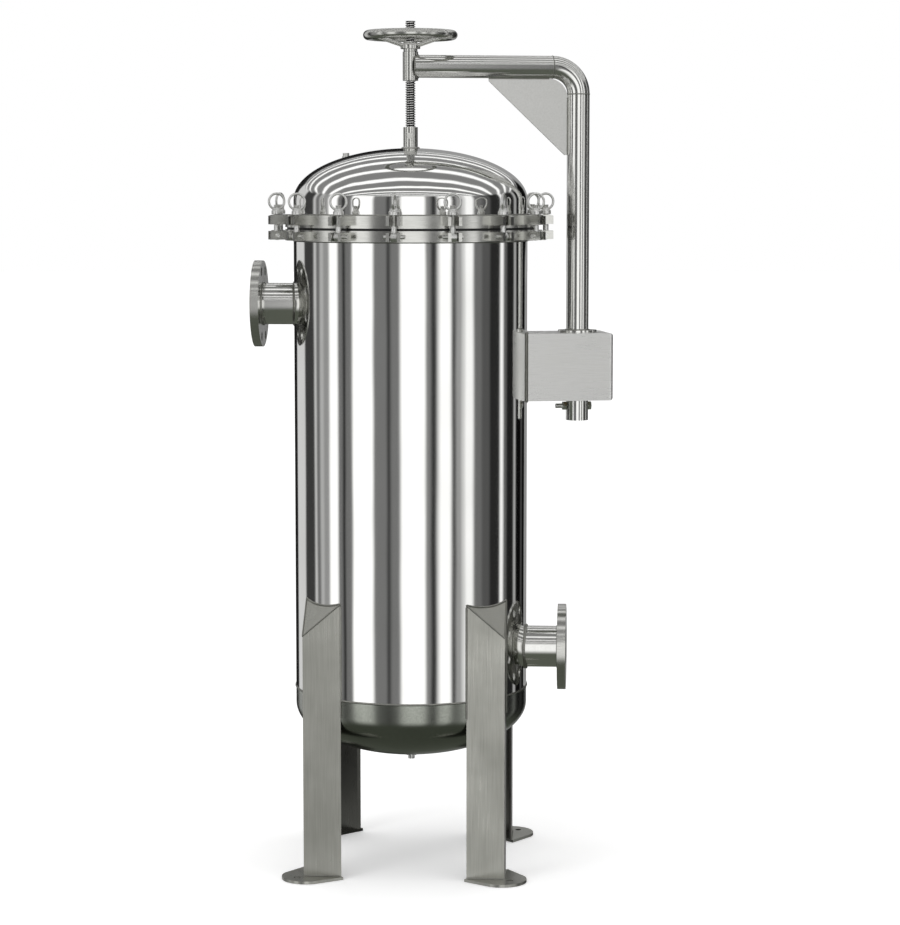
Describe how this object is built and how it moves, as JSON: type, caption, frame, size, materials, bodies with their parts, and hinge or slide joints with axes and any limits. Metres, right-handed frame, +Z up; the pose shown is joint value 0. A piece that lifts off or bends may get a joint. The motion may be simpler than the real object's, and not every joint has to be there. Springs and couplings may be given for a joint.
{
  "type": "bag filter housing",
  "caption": "Upright cylindrical bag filter housing on angle legs, with a domed lid held by swing bolts and a handwheel screw on a side davit to lift the lid.",
  "frame": {"origin": "on the vessel axis, at the underside of the foot plates", "axes": "+Z up along the vessel axis; +X towards the outlet, -X towards the inlet; the davit post stands beside +X, turned 12 degrees towards +Y"},
  "size_m": [0.7695, 0.6108, 1.808],
  "materials": {
    "mirror_polished_shell": "mirror-polished stainless steel",
    "satin_head": "satin stainless steel dished head",
    "turned_flange": "turned stainless steel",
    "cast_polished": "bright cast and machined stainless steel",
    "brushed_angle": "brushed stainless steel plate and angle",
    "polished_tube": "polished stainless steel tube",
    "black_gasket": "black nitrile rubber",
    "bronze_bush": "plain bearing metal",
    "felt_bag": "needle felt"
  },
  "bodies": {
    "vessel": {"shell": "mirror_polished_shell", "bottom_head": "satin_head", "vessel_flange": "turned_flange", "hinge_pins": "cast_polished", "lid_gasket": "black_gasket", "bag_plate": "turned_flange", "bag_baskets": "turned_flange", "filter_bags": "felt_bag", "inlet_pipe": "polished_tube", "inlet_flange": "turned_flange", "outlet_pipe": "polished_tube", "outlet_flange": "turned_flange", "legs": "brushed_angle", "foot_plates": "brushed_angle", "drain_plug": "cast_polished", "davit_box": "brushed_angle", "post_bushes": "bronze_bush"},
    "lid": {"lid_dome": "mirror_polished_shell", "lid_flange": "turned_flange", "lift_stud": "cast_polished", "vent_coupling": "cast_polished"},
    "davit": {"davit_post": "polished_tube", "davit_elbow": "polished_tube", "davit_arm": "polished_tube", "davit_gusset": "brushed_angle", "screw_sleeve": "polished_tube", "retaining_bolt": "cast_polished"},
    "screw": {"lifting_screw": "cast_polished", "screw_coupler": "polished_tube"},
    "wheel": {"handwheel": "polished_tube"},
    "swing_01": {"swing_bolt_01": "cast_polished"},
    "nut_01": {"eye_nut_01": "cast_polished"},
    "swing_02": {"swing_bolt_02": "cast_polished"},
    "nut_02": {"eye_nut_02": "cast_polished"},
    "swing_03": {"swing_bolt_03": "cast_polished"},
    "nut_03": {"eye_nut_03": "cast_polished"},
    "swing_04": {"swing_bolt_04": "cast_polished"},
    "nut_04": {"eye_nut_04": "cast_polished"},
    "swing_05": {"swing_bolt_05": "cast_polished"},
    "nut_05": {"eye_nut_05": "cast_polished"},
    "swing_06": {"swing_bolt_06": "cast_polished"},
    "nut_06": {"eye_nut_06": "cast_polished"},
    "swing_07": {"swing_bolt_07": "cast_polished"},
    "nut_07": {"eye_nut_07": "cast_polished"},
    "swing_08": {"swing_bolt_08": "cast_polished"},
    "nut_08": {"eye_nut_08": "cast_polished"},
    "swing_09": {"swing_bolt_09": "cast_polished"},
    "nut_09": {"eye_nut_09": "cast_polished"},
    "swing_10": {"swing_bolt_10": "cast_polished"},
    "nut_10": {"eye_nut_10": "cast_polished"},
    "swing_11": {"swing_bolt_11": "cast_polished"},
    "nut_11": {"eye_nut_11": "cast_polished"},
    "swing_12": {"swing_bolt_12": "cast_polished"},
    "nut_12": {"eye_nut_12": "cast_polished"},
    "swing_13": {"swing_bolt_13": "cast_polished"},
    "nut_13": {"eye_nut_13": "cast_polished"},
    "swing_14": {"swing_bolt_14": "cast_polished"},
    "nut_14": {"eye_nut_14": "cast_polished"},
    "swing_15": {"swing_bolt_15": "cast_polished"},
    "nut_15": {"eye_nut_15": "cast_polished"}
  },
  "joints": [
    {"name": "lid_lift", "type": "slide", "parent": "vessel", "child": "lid", "axis": [0, 0, 1], "range_m": [0, 0.014]},
    {"name": "bolt_01", "type": "hinge", "parent": "vessel", "child": "swing_01", "pos_m": [-0.01135, -0.28878, 1.356], "axis": [0.9992, -0.0393, 0], "range_deg": [0, 110]},
    {"name": "bolt_02", "type": "hinge", "parent": "vessel", "child": "swing_02", "pos_m": [0.10709, -0.26843, 1.356], "axis": [0.9288, 0.3706, 0], "range_deg": [0, 110]},
    {"name": "bolt_03", "type": "hinge", "parent": "vessel", "child": "swing_03", "pos_m": [0.20701, -0.20166, 1.356], "axis": [0.6978, 0.7163, 0], "range_deg": [0, 110]},
    {"name": "bolt_04", "type": "hinge", "parent": "vessel", "child": "swing_04", "pos_m": [0.27114, -0.10003, 1.356], "axis": [0.3461, 0.9382, 0], "range_deg": [0, 110]},
    {"name": "bolt_05", "type": "hinge", "parent": "vessel", "child": "swing_05", "pos_m": [0.28838, 0.0189, 1.356], "axis": [-0.0654, 0.9979, 0], "range_deg": [0, 110]},
    {"name": "bolt_06", "type": "hinge", "parent": "vessel", "child": "swing_06", "pos_m": [0.25576, 0.13456, 1.356], "axis": [-0.4656, 0.885, 0], "range_deg": [0, 110]},
    {"name": "bolt_07", "type": "hinge", "parent": "vessel", "child": "swing_07", "pos_m": [0.17892, 0.22696, 1.356], "axis": [-0.7853, 0.6191, 0], "range_deg": [0, 110]},
    {"name": "bolt_08", "type": "hinge", "parent": "vessel", "child": "swing_08", "pos_m": [0.07114, 0.28011, 1.356], "axis": [-0.9692, 0.2462, 0], "range_deg": [0, 110]},
    {"name": "bolt_09", "type": "hinge", "parent": "vessel", "child": "swing_09", "pos_m": [-0.04894, 0.28483, 1.356], "axis": [-0.9856, -0.1693, 0], "range_deg": [0, 110]},
    {"name": "bolt_10", "type": "hinge", "parent": "vessel", "child": "swing_10", "pos_m": [-0.16056, 0.2403, 1.356], "axis": [-0.8315, -0.5556, 0], "range_deg": [0, 110]},
    {"name": "bolt_11", "type": "hinge", "parent": "vessel", "child": "swing_11", "pos_m": [-0.24441, 0.15421, 1.356], "axis": [-0.5336, -0.8457, 0], "range_deg": [0, 110]},
    {"name": "bolt_12", "type": "hinge", "parent": "vessel", "child": "swing_12", "pos_m": [-0.28601, 0.04147, 1.356], "axis": [-0.1435, -0.9897, 0], "range_deg": [0, 110]},
    {"name": "bolt_13", "type": "hinge", "parent": "vessel", "child": "swing_13", "pos_m": [-0.27815, -0.07845, 1.356], "axis": [0.2714, -0.9625, 0], "range_deg": [0, 110]},
    {"name": "bolt_14", "type": "hinge", "parent": "vessel", "child": "swing_14", "pos_m": [-0.2222, -0.1848, 1.356], "axis": [0.6394, -0.7688, 0], "range_deg": [0, 110]},
    {"name": "bolt_15", "type": "hinge", "parent": "vessel", "child": "swing_15", "pos_m": [-0.12782, -0.2592, 1.356], "axis": [0.8969, -0.4423, 0], "range_deg": [0, 110]},
    {"name": "davit_swing", "type": "hinge", "parent": "vessel", "child": "davit", "pos_m": [0.35605, 0.07568, 1.145], "axis": [0, 0, 1], "range_deg": [0, 120]},
    {"name": "screw_lift", "type": "slide", "parent": "davit", "child": "screw", "axis": [0, 0, 1], "range_m": [0, 0.014]},
    {"name": "wheel_spin", "type": "hinge", "parent": "davit", "child": "wheel", "pos_m": [0, 0, 1.7435], "axis": [0, 0, 1], "range_deg": [0, 1008.5]},
    {"name": "nut_01_slide", "type": "slide", "parent": "swing_01", "child": "nut_01", "axis": [0, 0, 1], "range_m": [0, 0.014]},
    {"name": "nut_02_slide", "type": "slide", "parent": "swing_02", "child": "nut_02", "axis": [0, 0, 1], "range_m": [0, 0.014]},
    {"name": "nut_03_slide", "type": "slide", "parent": "swing_03", "child": "nut_03", "axis": [0, 0, 1], "range_m": [0, 0.014]},
    {"name": "nut_04_slide", "type": "slide", "parent": "swing_04", "child": "nut_04", "axis": [0, 0, 1], "range_m": [0, 0.014]},
    {"name": "nut_05_slide", "type": "slide", "parent": "swing_05", "child": "nut_05", "axis": [0, 0, 1], "range_m": [0, 0.014]},
    {"name": "nut_06_slide", "type": "slide", "parent": "swing_06", "child": "nut_06", "axis": [0, 0, 1], "range_m": [0, 0.014]},
    {"name": "nut_07_slide", "type": "slide", "parent": "swing_07", "child": "nut_07", "axis": [0, 0, 1], "range_m": [0, 0.014]},
    {"name": "nut_08_slide", "type": "slide", "parent": "swing_08", "child": "nut_08", "axis": [0, 0, 1], "range_m": [0, 0.014]},
    {"name": "nut_09_slide", "type": "slide", "parent": "swing_09", "child": "nut_09", "axis": [0, 0, 1], "range_m": [0, 0.014]},
    {"name": "nut_10_slide", "type": "slide", "parent": "swing_10", "child": "nut_10", "axis": [0, 0, 1], "range_m": [0, 0.014]},
    {"name": "nut_11_slide", "type": "slide", "parent": "swing_11", "child": "nut_11", "axis": [0, 0, 1], "range_m": [0, 0.014]},
    {"name": "nut_12_slide", "type": "slide", "parent": "swing_12", "child": "nut_12", "axis": [0, 0, 1], "range_m": [0, 0.014]},
    {"name": "nut_13_slide", "type": "slide", "parent": "swing_13", "child": "nut_13", "axis": [0, 0, 1], "range_m": [0, 0.014]},
    {"name": "nut_14_slide", "type": "slide", "parent": "swing_14", "child": "nut_14", "axis": [0, 0, 1], "range_m": [0, 0.014]},
    {"name": "nut_15_slide", "type": "slide", "parent": "swing_15", "child": "nut_15", "axis": [0, 0, 1], "range_m": [0, 0.014]}
  ],
  "couplings": [
    {"joint": "screw_lift", "follows": "lid_lift", "ratio": 1},
    {"joint": "wheel_spin", "follows": "lid_lift", "rad_per_m": 1256.6},
    {"joint": "nut_01_slide", "follows": "lid_lift", "ratio": 1},
    {"joint": "nut_02_slide", "follows": "lid_lift", "ratio": 1},
    {"joint": "nut_03_slide", "follows": "lid_lift", "ratio": 1},
    {"joint": "nut_04_slide", "follows": "lid_lift", "ratio": 1},
    {"joint": "nut_05_slide", "follows": "lid_lift", "ratio": 1},
    {"joint": "nut_06_slide", "follows": "lid_lift", "ratio": 1},
    {"joint": "nut_07_slide", "follows": "lid_lift", "ratio": 1},
    {"joint": "nut_08_slide", "follows": "lid_lift", "ratio": 1},
    {"joint": "nut_09_slide", "follows": "lid_lift", "ratio": 1},
    {"joint": "nut_10_slide", "follows": "lid_lift", "ratio": 1},
    {"joint": "nut_11_slide", "follows": "lid_lift", "ratio": 1},
    {"joint": "nut_12_slide", "follows": "lid_lift", "ratio": 1},
    {"joint": "nut_13_slide", "follows": "lid_lift", "ratio": 1},
    {"joint": "nut_14_slide", "follows": "lid_lift", "ratio": 1},
    {"joint": "nut_15_slide", "follows": "lid_lift", "ratio": 1}
  ]
}
